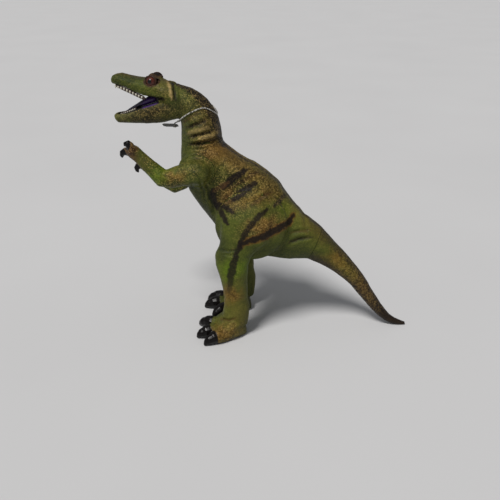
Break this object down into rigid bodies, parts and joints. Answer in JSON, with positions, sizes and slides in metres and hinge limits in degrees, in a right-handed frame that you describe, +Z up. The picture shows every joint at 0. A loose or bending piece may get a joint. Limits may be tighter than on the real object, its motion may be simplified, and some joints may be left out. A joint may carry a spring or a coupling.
{
  "type": "toy dinosaur figure",
  "caption": "Standing hollow vinyl toy dinosaur on two legs, mouth open, with a swivel neck, arms, legs and tail, and a bare dark hang tag on a neck cord.",
  "frame": {"origin": "on the plane that the soles and the tail tip rest on, midway between the nose and the tail tip, in the figure's middle plane", "axes": "-X is forward, towards the nose; +Y is the figure's right side; +Z is up"},
  "size_m": [0.3736, 0.1311, 0.3311],
  "materials": {
    "torso_vinyl": "satin painted soft vinyl",
    "head_vinyl": "satin painted soft vinyl",
    "left_eye_gloss": "high gloss paint",
    "right_eye_gloss": "high gloss paint",
    "upper_teeth_white": "gloss paint",
    "lower_teeth_white": "gloss paint",
    "tongue_purple": "satin paint",
    "cord_white": "twisted cord",
    "tag_card": "plain dark card",
    "tail_vinyl": "satin painted soft vinyl",
    "left_arm_vinyl": "satin painted soft vinyl",
    "right_arm_vinyl": "satin painted soft vinyl",
    "left_leg_vinyl": "satin painted soft vinyl",
    "right_leg_vinyl": "satin painted soft vinyl"
  },
  "bodies": {
    "torso": {"torso_shell": "torso_vinyl"},
    "head": {"head_shell": "head_vinyl", "left_eye": "left_eye_gloss", "right_eye": "right_eye_gloss", "upper_teeth": "upper_teeth_white", "lower_teeth": "lower_teeth_white", "tongue": "tongue_purple", "neck_cord": "cord_white", "swing_tag": "tag_card"},
    "tail": {"tail_shell": "tail_vinyl"},
    "left_arm": {"left_arm_shell": "left_arm_vinyl"},
    "right_arm": {"right_arm_shell": "right_arm_vinyl"},
    "left_leg": {"left_leg_shell": "left_leg_vinyl"},
    "right_leg": {"right_leg_shell": "right_leg_vinyl"}
  },
  "joints": [
    {"name": "neck_swivel", "type": "hinge", "parent": "torso", "child": "head", "pos_m": [-0.08348, 0, 0.25196], "axis": [0, 0, 1], "range_deg": [-80, 80]},
    {"name": "tail_swivel", "type": "hinge", "parent": "torso", "child": "tail", "pos_m": [0.05702, 0, 0.11946], "axis": [0.9205, 0, -0.3907], "range_deg": [-60, 60]},
    {"name": "left_shoulder", "type": "hinge", "parent": "torso", "child": "left_arm", "pos_m": [-0.08489, -0.0302, 0.22175], "axis": [0, 1, 0], "range_deg": [-60, 5]},
    {"name": "right_shoulder", "type": "hinge", "parent": "torso", "child": "right_arm", "pos_m": [-0.08489, 0.0302, 0.22175], "axis": [0, 1, 0], "range_deg": [-38, 25]},
    {"name": "left_hip", "type": "hinge", "parent": "torso", "child": "left_leg", "pos_m": [-0.027, -0.0314, 0.152], "axis": [0, 1, 0], "range_deg": [-35, 35]},
    {"name": "right_hip", "type": "hinge", "parent": "torso", "child": "right_leg", "pos_m": [-0.027, 0.0314, 0.152], "axis": [0, 1, 0], "range_deg": [-35, 35]}
  ]
}
